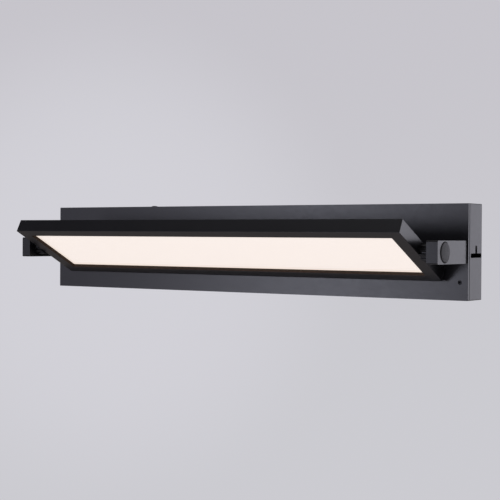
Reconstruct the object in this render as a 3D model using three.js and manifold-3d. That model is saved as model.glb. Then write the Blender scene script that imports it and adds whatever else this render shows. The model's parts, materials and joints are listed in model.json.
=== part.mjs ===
// A wall-hung LED picture light: a shallow rectangular canopy, two block arms, and a flat
// lamp head that tilts between them. Millimetres, +X along the canopy, +Y into the wall, +Z up.
// The origin is on the wall, at the middle of the wall bracket's back face.

import * as THREE from "three";
import { mergeVertices } from "three/addons/utils/BufferGeometryUtils.js";
import Module from "manifold-3d";

const wasm = await Module();
wasm.setup();

// ---------------------------------------------------------------- driving dimensions

const GAP = 0.3; // clearance between neighbouring pieces

const CANOPY_LENGTH = 610;
const CANOPY_HEIGHT = 108;
const CANOPY_DEPTH = 36;
const PLATE_THICKNESS = 2.5;
const SEAM = 0.9; // shadow gap between front plate and housing
const SHEET = 1.6;
const FLANGE_WIDTH = 5.5; // the housing's front flanges, along top and bottom

// The inverted T cut-out in each end: a long bar with a stem above its middle.
const SLOT_BAR_Y = [-29.5, -0.8];
const SLOT_BAR_Z = [-6.4, -1.55];
const SLOT_STEM_Y = -14.85;
const SLOT_STEM_WIDTH = 4.8;
const SLOT_STEM_TOP = 7.1;
const HOOK_RADIUS = 1.9;
const HOOK_HEAD_RADIUS = 3.2;

const ARM_OUTER_X = 303.5;
const ARM_THICKNESS = 13.5;
const ARM_HEIGHT = 25.4;
const ARM_FRONT_Y = -110.1;
const ARM_CORNER = 1.6;
const ARM_CHANNEL_X = 300; // the lead's channel inside the arm
const ARM_SCREW_Z = 8;

const PIVOT_Y = -92.3;
const TILT = 27.3; // degrees that the light face leans from facing straight down
const CAP_RADIUS = 11;
const CAP_POCKET_RADIUS = 11.7;
const CAP_STANDOUT = 0.8; // how far the cap's rim stands out of the arm
const STEM_RADIUS = 4.5;
const LEAD_BORE_RADIUS = 2.3;
const HUB_ROOT_RADIUS = 8.2;
const HUB_TIP_RADIUS = 9.8;
const HUB_TEETH = 10;

const HEAD_LENGTH = 554.7;
const HEAD_WIDTH = 117;
const HEAD_THICKNESS = 16.2;
const HEAD_LIFT = 1.4; // the middle of the head's thickness lies this far behind the pivots
const HEAD_WALL = 2;
const BEZEL_THICKNESS = 4.2;
const WINDOW_LENGTH = 524.8;
const WINDOW_WIDTH = 90;
const PANEL_OVERLAP = 2.4; // how far the optical sheets reach past the window
const MITRE_REACH = 25; // how far the frame's corner joints are cut in from the corners
const SHEET_THICKNESS = { diffuser: 1.5, guide: 3, film: 0.5 };
const BOARD_THICKNESS = 1.2;
const LED_HEIGHT = 1.1; // the LEDs' stand-out from their board

const BRACKET_THICKNESS = 1.8;
const BRACKET_HALF_LENGTH = 302.7;
const BRACKET_HALF_HEIGHT = 42;
const HOOK_TAB_X = 293; // outer face of the tabs that carry the hooks

const LOCK_SCREW_X = -152.5;
const LOCK_SCREW_Y = -17.8;
const GRUB_SCREW = new THREE.Vector2(295.1, -33.75);

const PLATE_SCREW_X = 190; // front plate screws, top and bottom
const DRIVER_X = [45, 195];
const LEAD_RADIUS = 0.9;

// ---------------------------------------------------------------- worked out from them

const canopyFront = -CANOPY_DEPTH;
const plateBack = canopyFront + PLATE_THICKNESS;
const housingFront = plateBack + SEAM;
const halfLength = CANOPY_LENGTH / 2;
const halfHeight = CANOPY_HEIGHT / 2;
const innerX = halfLength - SHEET;
const innerZ = halfHeight - SHEET;
const plateScrewZ = innerZ - FLANGE_WIDTH / 2;
const flangeBack = housingFront + SHEET;
const blindHoleEnd = plateBack - 1.9; // the threaded holes stop short of the plate's face
const armInnerX = ARM_OUTER_X - ARM_THICKNESS;
const armMiddleX = ARM_OUTER_X - ARM_THICKNESS / 2;
const armBackY = canopyFront - GAP;
const headEndX = HEAD_LENGTH / 2;
const headLow = HEAD_LIFT - HEAD_THICKNESS / 2;
const headHigh = HEAD_LIFT + HEAD_THICKNESS / 2;
const bezelInner = headLow + BEZEL_THICKNESS;
const bearingWeb = 4; // thickness of arm left around the pivot bore
const pocketFloorX = armInnerX + bearingWeb;
const hubStartX = headEndX + GAP;
const hubEndX = armInnerX - 1.4;
const stemEndX = pocketFloorX + 3.5;
const panelLength = WINDOW_LENGTH + 2 * PANEL_OVERLAP;
const panelWidth = WINDOW_WIDTH + 2 * PANEL_OVERLAP;
const hookZ = SLOT_STEM_TOP - SLOT_STEM_WIDTH / 2;
const driverEarX = [DRIVER_X[0] - 4.5, DRIVER_X[1] + 4.5];
const driverEarFront = plateBack + GAP;
const hubScrewOffset = 6.2;
const coverThickness = 1.5;
const coverLow = headHigh - 1.9;
const coverScrewSpots = [];
for (const y of [-53.2, 53.2]) {
  for (const x of [-255, 0, 255]) {
    coverScrewSpots.push([x, y]);
  }
}

const diffuserLow = bezelInner + GAP;
const guideLow = diffuserLow + SHEET_THICKNESS.diffuser + GAP;
const filmLow = guideLow + SHEET_THICKNESS.guide + GAP;
const padLow = filmLow + SHEET_THICKNESS.film + GAP;
const halfPanel = [panelLength / 2, panelWidth / 2];
const stripReach = WINDOW_LENGTH / 2 - 2;
const boardY = halfPanel[1] + LED_HEIGHT + 0.4;

// ---------------------------------------------------------------- materials

function finish(color, roughness, metalness) {
  return new THREE.MeshStandardMaterial({ color, roughness, metalness });
}

const blackPaint = finish(0x1a1a1d, 0.5, 0.3);
const blackPlastic = finish(0x202124, 0.7, 0);
const blackInside = finish(0x141416, 0.6, 0.3);
const zincSteel = finish(0xa9adb0, 0.35, 0.9);
const screwBlack = finish(0x151517, 0.45, 0.6);
const greenSteel = finish(0x2f8a45, 0.4, 0.7);
const opal = finish(0xfff3e6, 0.45, 0);
const acrylic = finish(0xe8f2f4, 0.1, 0);
const whiteFilm = finish(0xf4f4f2, 0.6, 0);
const greyFoam = finish(0x55585c, 0.95, 0);
const boardWhite = finish(0xeeeeea, 0.5, 0);
const driverWhite = finish(0xd9dadb, 0.5, 0);
const nylon = finish(0xe4e1d6, 0.5, 0);
const leadWhite = finish(0xe6e6e6, 0.6, 0);
const leadBlack = finish(0x222222, 0.6, 0);
const leadGreen = finish(0x3f9a4d, 0.6, 0);

// ---------------------------------------------------------------- solids and geometries

const alongX = new THREE.Matrix4().makeBasis(
  new THREE.Vector3(0, 1, 0),
  new THREE.Vector3(0, 0, 1),
  new THREE.Vector3(1, 0, 0),
);
const alongFront = new THREE.Matrix4().makeBasis(
  new THREE.Vector3(1, 0, 0),
  new THREE.Vector3(0, 0, 1),
  new THREE.Vector3(0, -1, 0),
);

function toSolid(geometry) {
  const bare = geometry.clone();
  bare.deleteAttribute("normal");
  bare.deleteAttribute("uv");
  const merged = mergeVertices(bare, 1e-4);
  const corners = merged.index.array;
  const triangles = [];
  for (let i = 0; i < corners.length; i += 3) {
    const [a, b, c] = [corners[i], corners[i + 1], corners[i + 2]];
    if (a !== b && b !== c && c !== a) {
      triangles.push(a, b, c);
    }
  }
  const vertProperties = new Float32Array(merged.attributes.position.array);
  const triVerts = new Uint32Array(triangles);
  return new wasm.Manifold(new wasm.Mesh({ numProp: 3, vertProperties, triVerts }));
}

function toGeometry(solid) {
  const result = solid.getMesh();
  const geometry = new THREE.BufferGeometry();
  geometry.setAttribute("position", new THREE.BufferAttribute(result.vertProperties, 3));
  geometry.setIndex(new THREE.BufferAttribute(result.triVerts, 1));
  geometry.computeVertexNormals();
  return geometry;
}

function carve(base, cutters) {
  let solid = toSolid(base);
  for (const cutter of cutters) {
    solid = solid.subtract(toSolid(cutter));
  }
  return toGeometry(solid);
}

function join(pieces) {
  let solid = toSolid(pieces[0]);
  for (const piece of pieces.slice(1)) {
    solid = solid.add(toSolid(piece));
  }
  return toGeometry(solid);
}

function clipped(base, keep) {
  return toGeometry(toSolid(base).intersect(toSolid(keep)));
}

// A box given by its lowest and highest corners.
function block(low, high) {
  const size = high.map((value, i) => value - low[i]);
  const middle = high.map((value, i) => (value + low[i]) / 2);
  return new THREE.BoxGeometry(...size).translate(...middle);
}

// A shape turned about an axis through a point. The profile is a list of [radius, distance].
function turned(profile, axis, point, sides = 24) {
  const outline = profile.map(([radius, distance]) => new THREE.Vector2(radius, distance));
  const geometry = new THREE.LatheGeometry(outline, sides);
  const spin = new THREE.Quaternion().setFromUnitVectors(new THREE.Vector3(0, 1, 0), axis);
  return geometry.applyQuaternion(spin).translate(...point);
}

const X = new THREE.Vector3(1, 0, 0);
const Y = new THREE.Vector3(0, 1, 0);
const Z = new THREE.Vector3(0, 0, 1);

function rod(radius, from, to, axis, point, sides = 24) {
  const profile = [
    [0, from],
    [radius, from],
    [radius, to],
    [0, to],
  ];
  return turned(profile, axis, point, sides);
}

function ring(inner, outer, from, to, axis, point, sides = 24) {
  const profile = [
    [inner, from],
    [outer, from],
    [outer, to],
    [inner, to],
    [inner, from],
  ];
  return turned(profile, axis, point, sides);
}

function roundedRectangle(left, bottom, right, top, radius) {
  const shape = new THREE.Shape();
  shape.moveTo(left + radius, bottom);
  shape.lineTo(right - radius, bottom);
  shape.absarc(right - radius, bottom + radius, radius, -Math.PI / 2, 0);
  shape.lineTo(right, top - radius);
  shape.absarc(right - radius, top - radius, radius, 0, Math.PI / 2);
  shape.lineTo(left + radius, top);
  shape.absarc(left + radius, top - radius, radius, Math.PI / 2, Math.PI);
  shape.lineTo(left, bottom + radius);
  shape.absarc(left + radius, bottom + radius, radius, Math.PI, Math.PI * 1.5);
  return shape;
}

function extruded(shape, depth, options = {}) {
  return new THREE.ExtrudeGeometry(shape, {
    depth,
    bevelEnabled: false,
    curveSegments: 4,
    ...options,
  });
}

// A shape drawn in Y and Z, pulled from one X to another.
function prismX(shape, fromX, toX) {
  return extruded(shape, toX - fromX).applyMatrix4(alongX).translate(fromX, 0, 0);
}

function tube(points, radius, steps) {
  const path = new THREE.CatmullRomCurve3(points.map((p) => new THREE.Vector3(...p)));
  const section = new THREE.Shape();
  section.absarc(0, 0, radius, 0, Math.PI * 2);
  return extruded(section, 0, { extrudePath: path, steps, curveSegments: 4 });
}

// Mirrors a geometry to the other end of the fixture and keeps its faces pointing out.
function mirrored(geometry) {
  const copy = geometry.clone().applyMatrix4(new THREE.Matrix4().makeScale(-1, 1, 1));
  const corners = copy.index ? copy.index.array : null;
  if (corners) {
    for (let i = 0; i < corners.length; i += 3) {
      [corners[i], corners[i + 1]] = [corners[i + 1], corners[i]];
    }
    copy.computeVertexNormals();
    return copy;
  }
  return toGeometry(toSolid(geometry).mirror([1, 0, 0]));
}

const light = new THREE.Group();
const canopy = new THREE.Group();
const head = new THREE.Group();
head.position.y = PIVOT_Y;
head.rotation.x = THREE.MathUtils.degToRad(-TILT);
light.add(canopy, head);

function place(parent, name, geometry, material) {
  const mesh = new THREE.Mesh(geometry, material);
  mesh.name = name;
  parent.add(mesh);
  return mesh;
}

function placePair(parent, name, geometry, material) {
  place(parent, `${name}_right`, geometry, material);
  place(parent, `${name}_left`, mirrored(geometry), material);
}

// ---------------------------------------------------------------- fasteners

// A pan-head screw whose head sits on the point and whose shank runs along the axis.
function panScrew(shank, length, headRadius, headHeight, axis, point) {
  const profile = [
    [0, length],
    [shank, length],
    [shank, 0],
    [headRadius, 0],
    [headRadius, -headHeight * 0.6],
    [headRadius * 0.7, -headHeight],
    [0, -headHeight],
  ];
  return turned(profile.reverse(), axis, point, 12);
}

// ---------------------------------------------------------------- canopy

// One of the two long walls, with the front flange that the plate is screwed to.
function makeHousingRail(side) {
  const spans = (from, to) => [Math.min(side * from, side * to), Math.max(side * from, side * to)];
  const [wallLow, wallHigh] = spans(innerZ, halfHeight);
  const [lipLow, lipHigh] = spans(innerZ - FLANGE_WIDTH, innerZ + SHEET / 2);
  const rail = join([
    block([-halfLength, housingFront, wallLow], [halfLength, 0, wallHigh]),
    block([-innerX, housingFront, lipLow], [innerX, flangeBack, lipHigh]),
  ]);
  const screwHoles = [-PLATE_SCREW_X, PLATE_SCREW_X].map((x) => {
    return rod(1.6, housingFront - 1, flangeBack + 1, Y, [x, 0, side * plateScrewZ], 12);
  });
  return carve(rail, screwHoles);
}

function makeTopRail() {
  const lockHole = rod(2.3, innerZ - 1, halfHeight + 1, Z, [LOCK_SCREW_X, LOCK_SCREW_Y, 0], 12);
  return carve(makeHousingRail(1), [lockHole]);
}

// An end wall, welded between the long walls.
function makeHousingEnd() {
  const wall = block([innerX, housingFront, -innerZ], [halfLength, 0, innerZ]);
  const [barLow, barHigh] = SLOT_BAR_Z;
  const stemFront = SLOT_STEM_Y - SLOT_STEM_WIDTH / 2;
  const stemBack = SLOT_STEM_Y + SLOT_STEM_WIDTH / 2;
  const bar = roundedRectangle(SLOT_BAR_Y[0], barLow, SLOT_BAR_Y[1], barHigh, 1.8);
  const stem = roundedRectangle(stemFront, barLow + 0.5, stemBack, SLOT_STEM_TOP, 1.6);
  return carve(wall, [
    prismX(bar, innerX - 1, halfLength + 1),
    prismX(stem, innerX - 1, halfLength + 1),
  ]);
}

function makeFrontPlate() {
  const bevel = 0.6;
  const outline = roundedRectangle(-halfLength, -halfHeight, halfLength, halfHeight, 0.8);
  const face = extruded(outline, PLATE_THICKNESS - 2 * bevel, {
    bevelEnabled: true,
    bevelThickness: bevel,
    bevelSize: bevel,
    bevelOffset: -bevel,
    bevelSegments: 1,
    curveSegments: 2,
  });
  face.applyMatrix4(alongFront).translate(0, plateBack - bevel, 0);
  const blindHole = (x, z) => rod(1.5, blindHoleEnd, plateBack + 1, Y, [x, 0, z], 12);
  const cuts = driverEarX.map((x) => blindHole(x, 0));
  for (const x of [-PLATE_SCREW_X, PLATE_SCREW_X]) {
    cuts.push(blindHole(x, plateScrewZ), blindHole(x, -plateScrewZ));
  }
  for (const side of [-1, 1]) {
    for (const z of [-ARM_SCREW_Z, ARM_SCREW_Z]) {
      cuts.push(rod(1.95, canopyFront - 1, plateBack + 1, Y, [side * armMiddleX, 0, z], 12));
    }
    cuts.push(rod(2, canopyFront - 1, plateBack + 1, Y, [side * ARM_CHANNEL_X, 0, 0], 12));
  }
  cuts.push(rod(2.4, canopyFront - 1, plateBack + 1, Y, [GRUB_SCREW.x, 0, GRUB_SCREW.y], 16));
  return carve(face, cuts);
}

function makeGrubScrew() {
  const outside = [GRUB_SCREW.x, 0, GRUB_SCREW.y];
  const body = rod(2.05, canopyFront + 0.3, canopyFront + 6.3, Y, outside, 20);
  return carve(body, [rod(1.15, canopyFront, canopyFront + 2.5, Y, outside, 6)]);
}

// ---------------------------------------------------------------- wall bracket

function keyhole(x) {
  return [
    rod(4.5, -4, 2, Y, [x, 0, -6], 20),
    block([x - 2.4, -4, -6], [x + 2.4, 2, 4]),
    rod(2.4, -4, 2, Y, [x, 0, 4], 12),
  ];
}

// The riveted pin that the canopy's T cut-out hangs on.
function makeHook(tabInner) {
  const place = [0, SLOT_STEM_Y, hookZ];
  return join([
    rod(HOOK_HEAD_RADIUS, tabInner - 1.7, tabInner + 0.5, X, place, 12),
    rod(HOOK_RADIUS, tabInner - 1, halfLength - 0.6, X, place, 12),
  ]);
}

function makeWallBracket() {
  const t = BRACKET_THICKNESS;
  const plateX = BRACKET_HALF_LENGTH - 4;
  const tabTop = innerZ - 0.6;
  const tabFront = -25;
  const pieces = [
    block([-plateX, -t, -BRACKET_HALF_HEIGHT], [plateX, 0, BRACKET_HALF_HEIGHT]),
    block([LOCK_SCREW_X - 10, -t, BRACKET_HALF_HEIGHT - 1], [LOCK_SCREW_X + 10, 0, tabTop]),
    block([LOCK_SCREW_X - 10, tabFront, tabTop - t], [LOCK_SCREW_X + 10, 0, tabTop]),
  ];
  for (const side of [-1, 1]) {
    const [outer, inner] = [side * HOOK_TAB_X, side * (HOOK_TAB_X - t)];
    const [end, foot] = [side * BRACKET_HALF_LENGTH, side * (BRACKET_HALF_LENGTH - 10)];
    const tab = block([Math.min(outer, inner), tabFront, -12], [Math.max(outer, inner), 0, 12]);
    pieces.push(tab, block([Math.min(end, foot), -t, -16], [Math.max(end, foot), 0, 16]));
  }
  const hook = makeHook(HOOK_TAB_X - t);
  pieces.push(hook, mirrored(hook));
  const cuts = [
    rod(11, -4, 2, Y, [0, 0, -24], 32),
    rod(2.1, tabTop - 4, tabTop + 2, Z, [LOCK_SCREW_X, LOCK_SCREW_Y, 0], 12),
    rod(2.1, -4, 2, Y, [-34, 0, -26], 12),
  ];
  for (const side of [-1, 1]) {
    cuts.push(block([side * 44.45 - 6, -4, -2.6], [side * 44.45 + 6, 2, 2.6]));
    cuts.push(...keyhole(side * 203.2));
  }
  return carve(join(pieces), cuts);
}

// ---------------------------------------------------------------- arms and pivots

function makeArm() {
  const bevel = 0.4;
  const outline = roundedRectangle(
    ARM_FRONT_Y,
    -ARM_HEIGHT / 2,
    armBackY,
    ARM_HEIGHT / 2,
    ARM_CORNER,
  );
  const body = extruded(outline, ARM_THICKNESS - 2 * bevel, {
    bevelEnabled: true,
    bevelThickness: bevel,
    bevelSize: bevel,
    bevelOffset: -bevel,
    bevelSegments: 1,
    curveSegments: 3,
  });
  body.applyMatrix4(alongX).translate(armInnerX + bevel, 0, 0);
  const pivot = [0, PIVOT_Y, 0];
  const cuts = [
    rod(STEM_RADIUS + GAP, armInnerX - 1, pocketFloorX + 1, X, pivot),
    rod(CAP_POCKET_RADIUS, pocketFloorX, ARM_OUTER_X + 1, X, pivot, 40),
    rod(1.5, PIVOT_Y + CAP_POCKET_RADIUS - 1, armBackY + 1, Y, [ARM_CHANNEL_X, 0, 0], 12),
  ];
  for (const z of [-ARM_SCREW_Z, ARM_SCREW_Z]) {
    cuts.push(rod(1.95, armBackY - 12, armBackY + 1, Y, [armMiddleX, 0, z], 12));
  }
  return carve(body, cuts);
}

// A domed cap with a skirt. The notch in the skirt lets the lead pass.
function makePivotCap() {
  const rim = ARM_OUTER_X + CAP_STANDOUT;
  const inside = ARM_OUTER_X - 1.3;
  const profile = [
    [0, rim + 0.8],
    [4, rim + 0.7],
    [8, rim + 0.35],
    [CAP_RADIUS - 0.4, rim],
    [CAP_RADIUS, rim - 0.4],
    [CAP_RADIUS, pocketFloorX + GAP],
    [CAP_RADIUS - 1.2, pocketFloorX + GAP],
    [CAP_RADIUS - 1.2, inside],
    [0, inside],
  ];
  const body = turned(profile.reverse(), X, [0, PIVOT_Y, 0], 40);
  const notch = block(
    [pocketFloorX, PIVOT_Y + 5, -2.2],
    [inside - 0.4, PIVOT_Y + CAP_RADIUS + 1, 2.2],
  );
  return carve(body, [notch]);
}

// The slotted ring nut turns with the head, so it is placed in the head's frame.
function makeRingNut() {
  const start = pocketFloorX + GAP;
  const body = ring(STEM_RADIUS + GAP, 7.5, start, start + 2, X, [0, 0, 0], 32);
  const slots = [
    block([start - 1, -9, -0.9], [start + 3, -6.3, 0.9]),
    block([start - 1, 6.3, -0.9], [start + 3, 9, 0.9]),
    block([start - 1, -0.9, -9], [start + 3, 0.9, -6.3]),
    block([start - 1, -0.9, 6.3], [start + 3, 0.9, 9]),
  ];
  return carve(body, slots);
}

function makeHub() {
  const collar = new THREE.Shape();
  const pitch = (Math.PI * 2) / HUB_TEETH;
  for (let tooth = 0; tooth < HUB_TEETH; tooth += 1) {
    const corners = [
      [HUB_ROOT_RADIUS, 0],
      [HUB_TIP_RADIUS, 0.12],
      [HUB_TIP_RADIUS, 0.52],
      [HUB_ROOT_RADIUS, 0.64],
    ];
    for (const [radius, share] of corners) {
      const angle = (tooth + share) * pitch;
      const point = [radius * Math.cos(angle), radius * Math.sin(angle)];
      if (tooth === 0 && share === 0) {
        collar.moveTo(...point);
      } else {
        collar.lineTo(...point);
      }
    }
  }
  const pieces = [
    prismX(collar, hubStartX, hubEndX),
    rod(STEM_RADIUS, hubEndX - 1, stemEndX, X, [0, 0, 0], 28),
  ];
  const cuts = [rod(LEAD_BORE_RADIUS, hubStartX - 1, stemEndX + 1, X, [0, 0, 0], 20)];
  for (const y of [-hubScrewOffset, hubScrewOffset]) {
    cuts.push(rod(1.5, hubStartX - 1, hubStartX + 7, X, [0, y, 0], 12));
  }
  return carve(join(pieces), cuts);
}

// ---------------------------------------------------------------- head

function makeHeadFrame() {
  const bevel = 0.4;
  const outline = roundedRectangle(
    -headEndX,
    -HEAD_WIDTH / 2,
    headEndX,
    HEAD_WIDTH / 2,
    0.6,
  );
  const body = extruded(outline, HEAD_THICKNESS - 2 * bevel, {
    bevelEnabled: true,
    bevelThickness: bevel,
    bevelSize: bevel,
    bevelOffset: -bevel,
    bevelSegments: 1,
    curveSegments: 2,
  });
  body.translate(0, 0, headLow + bevel);
  const innerEndX = headEndX - HEAD_WALL;
  const innerEdgeY = HEAD_WIDTH / 2 - HEAD_WALL;
  const hollow = carve(body, [
    block([-innerEndX, -innerEdgeY, bezelInner], [innerEndX, innerEdgeY, headHigh + 1]),
    block(
      [-WINDOW_LENGTH / 2, -WINDOW_WIDTH / 2, headLow - 1],
      [WINDOW_LENGTH / 2, WINDOW_WIDTH / 2, bezelInner + 1],
    ),
  ]);
  const pieces = [hollow];
  const cuts = [];
  for (const [x, y] of coverScrewSpots) {
    pieces.push(rod(2.6, bezelInner - 1, coverLow - GAP, Z, [x, y, 0], 12));
    cuts.push(rod(1.5, bezelInner + 1.5, coverLow + 1, Z, [x, y, 0], 12));
  }
  for (const side of [-1, 1]) {
    const wallX = side * (headEndX - HEAD_WALL / 2);
    cuts.push(rod(LEAD_BORE_RADIUS, -3, 3, X, [wallX, 0, 0], 20));
    for (const y of [-hubScrewOffset, hubScrewOffset]) {
      cuts.push(rod(1.6, -3, 3, X, [wallX, y, 0], 12));
    }
  }
  return carve(join(pieces), cuts);
}

// The region that one side of the frame fills between its two mitred corners.
function mitreRegion(halfRun, halfAcross) {
  const shape = new THREE.Shape();
  shape.moveTo(-halfRun - 1, halfAcross + 1);
  shape.lineTo(-halfRun + MITRE_REACH, halfAcross - MITRE_REACH);
  shape.lineTo(halfRun - MITRE_REACH, halfAcross - MITRE_REACH);
  shape.lineTo(halfRun + 1, halfAcross + 1);
  return extruded(shape, 2 * HEAD_THICKNESS).translate(0, 0, -HEAD_THICKNESS);
}

function placeHeadFrame() {
  const frame = makeHeadFrame();
  const longRegion = mitreRegion(headEndX, HEAD_WIDTH / 2);
  const shortRegion = mitreRegion(HEAD_WIDTH / 2, headEndX);
  const regions = {
    head_rail_back: longRegion,
    head_rail_front: longRegion.clone().rotateZ(Math.PI),
    head_end_right: shortRegion.clone().rotateZ(-Math.PI / 2),
    head_end_left: shortRegion.clone().rotateZ(Math.PI / 2),
  };
  for (const [name, region] of Object.entries(regions)) {
    place(head, name, clipped(frame, region), blackPaint);
  }
}

function makeBackCover() {
  const edgeX = headEndX - HEAD_WALL - GAP;
  const edgeY = HEAD_WIDTH / 2 - HEAD_WALL - GAP;
  const sheet = block([-edgeX, -edgeY, coverLow], [edgeX, edgeY, coverLow + coverThickness]);
  const holes = coverScrewSpots.map(([x, y]) => {
    const cone = [
      [0, coverLow - 1],
      [1.5, coverLow - 1],
      [1.5, coverLow + 0.2],
      [2.75, coverLow + coverThickness + 0.3],
      [0, coverLow + coverThickness + 0.3],
    ];
    return turned(cone, Z, [x, y, 0], 12);
  });
  return carve(sheet, holes);
}

function makeCoverScrew(x, y) {
  const top = coverLow + coverThickness - 0.1;
  const profile = [
    [0, bezelInner + 2.2],
    [1.2, bezelInner + 2.2],
    [1.2, coverLow + 0.3],
    [2.2, top],
    [0, top],
  ];
  return turned(profile, Z, [x, y, 0], 12);
}

function makeLedStrip() {
  const count = 26;
  const board = block(
    [-stripReach, boardY, bezelInner + GAP],
    [stripReach, boardY + BOARD_THICKNESS, bezelInner + 6],
  );
  const pieces = [board];
  for (let i = 0; i < count; i += 1) {
    const x = -stripReach + ((i + 0.5) * 2 * stripReach) / count;
    const low = [x - 1.8, boardY - LED_HEIGHT, guideLow + 0.2];
    const high = [x + 1.8, boardY + 0.1, guideLow + SHEET_THICKNESS.guide - 0.2];
    pieces.push(block(low, high));
  }
  return join(pieces);
}

// ---------------------------------------------------------------- driver and wiring

function makeDriver() {
  const [left, right] = DRIVER_X;
  const top = driverEarFront + 20;
  const pieces = [
    block([left, driverEarFront, -15], [right, top, 15]),
    block([left - 9, driverEarFront, -7], [right + 9, driverEarFront + 1.5, 7]),
  ];
  const cuts = driverEarX.map((x) => {
    return rod(1.7, driverEarFront - 1, driverEarFront + 2, Y, [x, 0, 0], 12);
  });
  return carve(join(pieces), cuts);
}

function makeTerminalBlock() {
  const [x, z] = [-16, 0];
  const front = plateBack + GAP;
  const body = block([x - 9, front, z - 13], [x + 9, front + 16, z + 13]);
  const cuts = [];
  for (const pole of [-8, 0, 8]) {
    cuts.push(rod(1.6, x + 4, x + 12, X, [0, front + 10, pole], 12));
    cuts.push(rod(1.6, x - 12, x - 4, X, [0, front + 10, pole], 12));
    cuts.push(rod(1.8, front + 12, front + 18, Y, [x, 0, pole], 12));
  }
  return carve(body, cuts);
}

// The ground lead ends in a crimped eyelet under the ground screw's head.
function makeGroundLead() {
  const wire = tube(
    [
      [-20.3, plateBack + 10.3, -8],
      [-25, plateBack + 10.3, -8],
      [-30, plateBack + 14, -7],
      [-33, -9.5, -8],
      [-34, -5, -12],
      [-34, -3.5, -16],
      [-34, -3.4, -20],
    ],
    1.1,
    18,
  );
  const crimp = block([-35.4, -3.3, -24], [-32.6, -2.3, -18]);
  const eyelet = ring(2.4, 4.2, -3.3, -2.3, Y, [-34, 0, -26], 20);
  return carve(join([wire, crimp, eyelet]), [rod(2.4, -6, 0, Y, [-34, 0, -26], 20)]);
}

// ---------------------------------------------------------------- assembly

place(canopy, "canopy_front_plate", makeFrontPlate(), blackPaint);
place(canopy, "canopy_housing_top", makeTopRail(), blackPaint);
place(canopy, "canopy_housing_bottom", makeHousingRail(-1), blackPaint);
placePair(canopy, "canopy_end", makeHousingEnd(), blackPaint);
place(canopy, "wall_bracket", makeWallBracket(), blackInside);
place(
  canopy,
  "canopy_lock_screw",
  panScrew(1.75, 9, 3.9, 1.1, Z.clone().negate(), [LOCK_SCREW_X, LOCK_SCREW_Y, halfHeight + GAP]),
  screwBlack,
);
place(canopy, "canopy_grub_screw", makeGrubScrew(), screwBlack);

let screwNumber = 0;
for (const z of [-plateScrewZ, plateScrewZ]) {
  for (const x of [-PLATE_SCREW_X, PLATE_SCREW_X]) {
    screwNumber += 1;
    const screw = panScrew(1.25, 4, 2.2, 1.6, Y.clone().negate(), [x, flangeBack + GAP, z]);
    place(canopy, `plate_screw_${screwNumber}`, screw, zincSteel);
  }
}

placePair(canopy, "arm", makeArm(), blackPaint);
for (const [level, z] of [["upper", ARM_SCREW_Z], ["lower", -ARM_SCREW_Z]]) {
  const seat = [armMiddleX, plateBack + GAP, z];
  const screw = panScrew(1.65, 14, 3.5, 2.2, Y.clone().negate(), seat);
  placePair(canopy, `arm_screw_${level}`, screw, zincSteel);
}
placePair(canopy, "pivot_cap", makePivotCap(), blackPlastic);
const washerX = hubEndX + GAP;
placePair(
  canopy,
  "pivot_friction_washer",
  ring(STEM_RADIUS + GAP, 8.6, washerX, washerX + 0.8, X, [0, PIVOT_Y, 0], 28),
  blackPlastic,
);

place(canopy, "led_driver", makeDriver(), driverWhite);
for (const [i, x] of driverEarX.entries()) {
  const seat = [x, driverEarFront + 1.5 + GAP, 0];
  const screw = panScrew(1.25, 3.7, 2.8, 1.8, Y.clone().negate(), seat);
  place(canopy, `driver_screw_${i + 1}`, screw, zincSteel);
}
place(canopy, "terminal_block", makeTerminalBlock(), nylon);
place(
  canopy,
  "ground_screw",
  panScrew(1.8, 3.2, 3.8, 2.2, Y, [-34, -3.6, -26]),
  greenSteel,
);
place(canopy, "ground_lead", makeGroundLead(), leadGreen);

const poleY = plateBack + GAP + 10;
const driverLeadY = driverEarFront + 12;
const liveRoute = [
  [-11.7, poleY, 8],
  [0, poleY, 8],
  [18, poleY + 3, 8],
  [34, driverLeadY, 6],
  [44.7, driverLeadY, 6],
];
const neutralRoute = [
  [-11.7, poleY, 0],
  [2, poleY, -1],
  [20, poleY + 3, -4],
  [34, driverLeadY, -6],
  [44.7, driverLeadY, -6],
];
place(canopy, "live_lead", tube(liveRoute, 1.1, 16), leadBlack);
place(canopy, "neutral_lead", tube(neutralRoute, 1.1, 16), leadWhite);
place(
  canopy,
  "arm_lead",
  tube(
    [
      [stemEndX - 2.2, PIVOT_Y, 0],
      [stemEndX - 0.6, PIVOT_Y + 0.05, 0],
      [ARM_CHANNEL_X - 0.7, PIVOT_Y + 1.2, 0],
      [ARM_CHANNEL_X, PIVOT_Y + 4, 0],
      [ARM_CHANNEL_X, -70, 0],
      [ARM_CHANNEL_X, -50, 0],
      [ARM_CHANNEL_X, -36, 0],
      [ARM_CHANNEL_X - 0.6, -31, 0],
      [ARM_CHANNEL_X - 6, -27.5, 0],
      [270, -24, 0],
      [240, -18, 0],
      [DRIVER_X[1] + 14, driverLeadY, 0],
      [DRIVER_X[1] + GAP, driverLeadY, 0],
    ],
    LEAD_RADIUS,
    48,
  ),
  leadWhite,
);

placePair(head, "pivot_hub", makeHub(), screwBlack);
placePair(head, "pivot_ring_nut", makeRingNut(), zincSteel);
for (const [level, y] of [["front", -hubScrewOffset], ["back", hubScrewOffset]]) {
  const seat = [headEndX - HEAD_WALL - GAP, y, 0];
  placePair(head, `hub_screw_${level}`, panScrew(1.2, 8.4, 2.1, 1.6, X, seat), zincSteel);
}
placeHeadFrame();
place(head, "head_back_cover", makeBackCover(), blackInside);
for (const [i, [x, y]] of coverScrewSpots.entries()) {
  place(head, `head_cover_screw_${i + 1}`, makeCoverScrew(x, y), screwBlack);
}

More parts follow.
